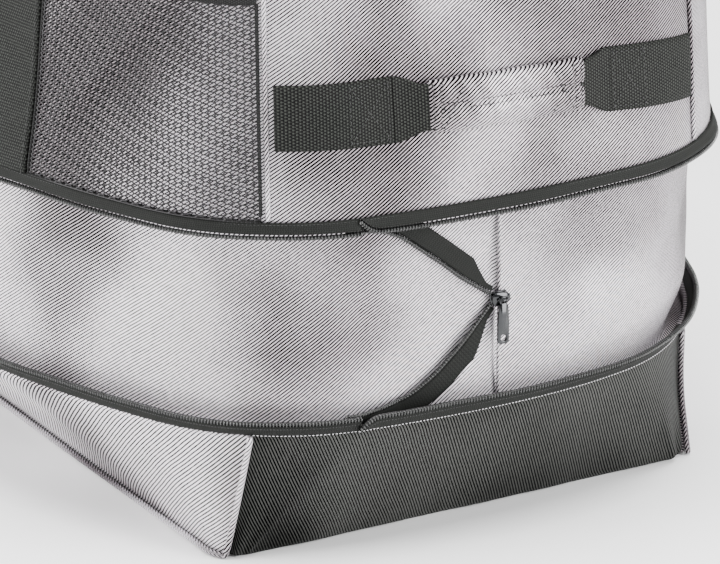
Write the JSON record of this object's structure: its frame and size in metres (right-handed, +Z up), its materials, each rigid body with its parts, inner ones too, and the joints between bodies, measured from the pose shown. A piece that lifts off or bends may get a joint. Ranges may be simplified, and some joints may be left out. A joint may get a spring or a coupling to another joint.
{
  "type": "expandable skate bag",
  "caption": "Soft zip-expanding duffel for skates: boat-shaped base, fold-down gusset, lidded upper body, webbing carry loops, end grab handles and net pockets.",
  "frame": {"origin": "middle of the footprint, on the floor", "axes": "+X along the bag to the end with the zip slider, +Y to the back, +Z up"},
  "size_m": [0.609, 0.4388, 0.365],
  "materials": {
    "grey_twill": "silver-grey coated twill with light diagonal ribs on a dark ground",
    "black_twill": "black coated twill, diagonal ribs",
    "zip_tape": "charcoal woven zip tape",
    "zip_coil": "black nylon coil",
    "webbing": "black ribbed webbing",
    "net": "dark hexagonal net",
    "elastic": "black elastic binding",
    "dark_metal": "glossy gunmetal",
    "board": "plain black stiffener board"
  },
  "bodies": {
    "base": {"base_sling": "black_twill", "lower_front_panel": "grey_twill", "lower_back_panel": "grey_twill", "front_bottom_piping": "grey_twill", "back_bottom_piping": "grey_twill", "base_board": "board", "lower_zip_tape": "zip_tape", "lower_zip_coil": "zip_coil", "gusset": "grey_twill", "upper_arm_tape": "zip_tape", "upper_arm_coil": "zip_coil", "lower_arm_tape": "zip_tape", "lower_arm_coil": "zip_coil"},
    "upper": {"front_panel": "grey_twill", "back_panel": "grey_twill", "right_end_panel": "grey_twill", "left_end_panel": "grey_twill", "front_right_welt": "grey_twill", "front_left_welt": "grey_twill", "back_right_welt": "grey_twill", "back_left_welt": "grey_twill", "upper_zip_tape": "zip_tape", "upper_zip_coil": "zip_coil", "right_pocket_edge": "net", "left_pocket_edge": "net", "front_right_strap": "webbing", "front_left_strap": "webbing", "back_right_strap": "webbing", "back_left_strap": "webbing", "right_pocket": "net", "left_pocket": "net", "right_pocket_binding": "elastic", "left_pocket_binding": "elastic", "right_handle_stub_front": "webbing", "right_handle_stub_back": "webbing", "left_handle_stub_front": "webbing", "left_handle_stub_back": "webbing", "top_border": "grey_twill", "border_zip_tape": "zip_tape", "border_zip_coil": "zip_coil"},
    "lid": {"lid_panel": "grey_twill", "lid_zip_tape": "zip_tape", "lid_zip_coil": "zip_coil"},
    "front_handle": {"front_handle_webbing": "webbing", "front_handle_grip": "grey_twill"},
    "back_handle": {"back_handle_webbing": "webbing", "back_handle_grip": "grey_twill"},
    "right_end_handle": {"right_grip_webbing": "webbing", "right_grip_wrap": "grey_twill"},
    "left_end_handle": {"left_grip_webbing": "webbing", "left_grip_wrap": "grey_twill"},
    "zip_slider": {"expansion_slider": "dark_metal"},
    "zip_pull": {"expansion_pull": "dark_metal"},
    "lid_slider_r": {"lid_slider_right": "dark_metal"},
    "lid_pull_r": {"lid_pull_right": "dark_metal"},
    "lid_slider_l": {"lid_slider_left": "dark_metal"},
    "lid_pull_l": {"lid_pull_left": "dark_metal"}
  },
  "joints": [
    {"name": "expansion", "type": "slide", "parent": "base", "child": "upper", "axis": [0, 0, 1], "range_m": [-0.0886, 0], "deforming": ["upper_arm_tape", "upper_arm_coil", "lower_arm_tape", "lower_arm_coil", "gusset"]},
    {"name": "slider_follow", "type": "slide", "parent": "base", "child": "zip_slider", "axis": [0, 0, 1], "range_m": [-0.0445, 0]},
    {"name": "zip_pull_swing", "type": "hinge", "parent": "zip_slider", "child": "zip_pull", "pos_m": [0.29776, 0, 0.12335], "axis": [0, -1, 0], "range_deg": [0, 150]},
    {"name": "lid_open", "type": "hinge", "parent": "upper", "child": "lid", "pos_m": [0, 0.122, 0.359], "axis": [-1, 0, 0], "range_deg": [0, 105]},
    {"name": "front_handle_swing", "type": "hinge", "parent": "upper", "child": "front_handle", "pos_m": [0, -0.18165, 0.312], "axis": [-1, 0, 0], "range_deg": [0, 150]},
    {"name": "back_handle_swing", "type": "hinge", "parent": "upper", "child": "back_handle", "pos_m": [0, 0.18165, 0.312], "axis": [1, 0, 0], "range_deg": [0, 150]},
    {"name": "right_grip_pull_out", "type": "slide", "parent": "upper", "child": "right_end_handle", "axis": [1, 0, 0], "range_m": [0, 0.02]},
    {"name": "left_grip_pull_out", "type": "slide", "parent": "upper", "child": "left_end_handle", "axis": [-1, 0, 0], "range_m": [0, 0.02]},
    {"name": "lid_slider_r_run", "type": "slide", "parent": "upper", "child": "lid_slider_r", "axis": [1, 0, 0], "range_m": [0, 0.09]},
    {"name": "lid_slider_l_run", "type": "slide", "parent": "upper", "child": "lid_slider_l", "axis": [-1, 0, 0], "range_m": [0, 0.09]},
    {"name": "lid_pull_r_swing", "type": "hinge", "parent": "lid_slider_r", "child": "lid_pull_r", "pos_m": [0.007, -0.15039, 0.3642], "axis": [0, -1, 0], "range_deg": [0, 120]},
    {"name": "lid_pull_l_swing", "type": "hinge", "parent": "lid_slider_l", "child": "lid_pull_l", "pos_m": [-0.007, -0.15039, 0.3642], "axis": [0, 1, 0], "range_deg": [0, 120]}
  ],
  "couplings": [
    {"joint": "slider_follow", "follows": "expansion", "ratio": 0.343}
  ]
}
